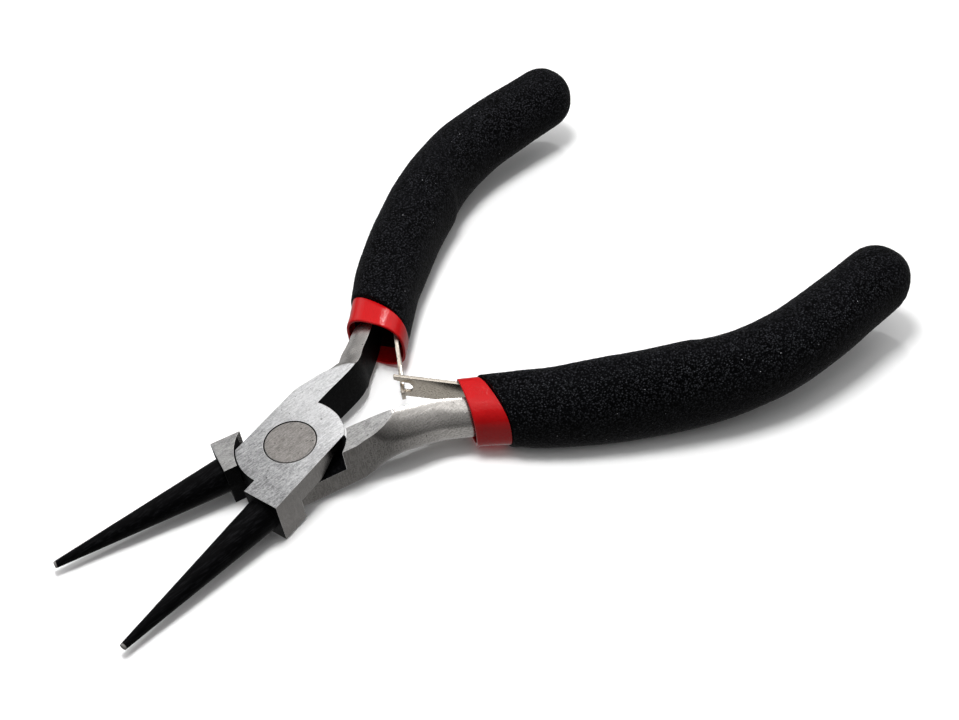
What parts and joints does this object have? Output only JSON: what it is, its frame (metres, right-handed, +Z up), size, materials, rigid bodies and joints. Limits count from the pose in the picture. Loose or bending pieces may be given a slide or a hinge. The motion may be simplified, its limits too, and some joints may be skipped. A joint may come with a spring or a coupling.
{
  "type": "round nose pliers",
  "caption": "Spring-opened round nose pliers: riveted lap joint, tapered round jaws, crossing leaf springs, glossy red sleeve rims and bent black foam grips.",
  "frame": {"origin": "on the joint rivet's axis, in the plane of the joint's underside (the rivet's flush lower head)", "axes": "+X from the rivet to the jaw tips along the middle line, +Z up along the rivet, away from the underside"},
  "size_m": [0.1093, 0.0736, 0.0127],
  "materials": {
    "ground_steel": "satin ground, with black-oxide inner faces and jaws",
    "rivet_steel": "brushed, slightly darker than the halves",
    "spring_steel": "bright rolled strip with a warm tint",
    "red_vinyl": "glossy dipped vinyl",
    "black_foam": "matt closed-cell foam with a fine pebbled skin"
  },
  "bodies": {
    "lower_handle": {"lower_half": "ground_steel", "lower_sleeve": "red_vinyl", "lower_foam_grip": "black_foam", "lower_leaf_root": "spring_steel", "lower_leaf_rivet": "rivet_steel", "joint_rivet": "rivet_steel"},
    "upper_handle": {"upper_half": "ground_steel", "upper_sleeve": "red_vinyl", "upper_foam_grip": "black_foam", "upper_leaf_root": "spring_steel", "upper_leaf_rivet": "rivet_steel"},
    "lower_leaf": {"lower_leaf_tongue": "spring_steel"},
    "upper_leaf": {"upper_leaf_tongue": "spring_steel"}
  },
  "joints": [
    {"name": "main_hinge", "type": "hinge", "parent": "lower_handle", "child": "upper_handle", "pos_m": [0, 0, 0.00315], "axis": [0, 0, 1], "range_deg": [-27, 3], "stiffness_Nm_per_rad": 0.8},
    {"name": "lower_leaf_flex", "type": "hinge", "parent": "lower_handle", "child": "lower_leaf", "pos_m": [-0.02303, 0.00772, 0.00225], "axis": [0, 0, 1], "range_deg": [-4, 29.5]},
    {"name": "upper_leaf_flex", "type": "hinge", "parent": "upper_handle", "child": "upper_leaf", "pos_m": [-0.02294, -0.00806, 0.00225], "axis": [0, 0, 1], "range_deg": [-29.5, 4]}
  ],
  "couplings": [
    {"joint": "lower_leaf_flex", "follows": "main_hinge", "ratio": -1.07},
    {"joint": "upper_leaf_flex", "follows": "main_hinge", "ratio": 1.07}
  ]
}
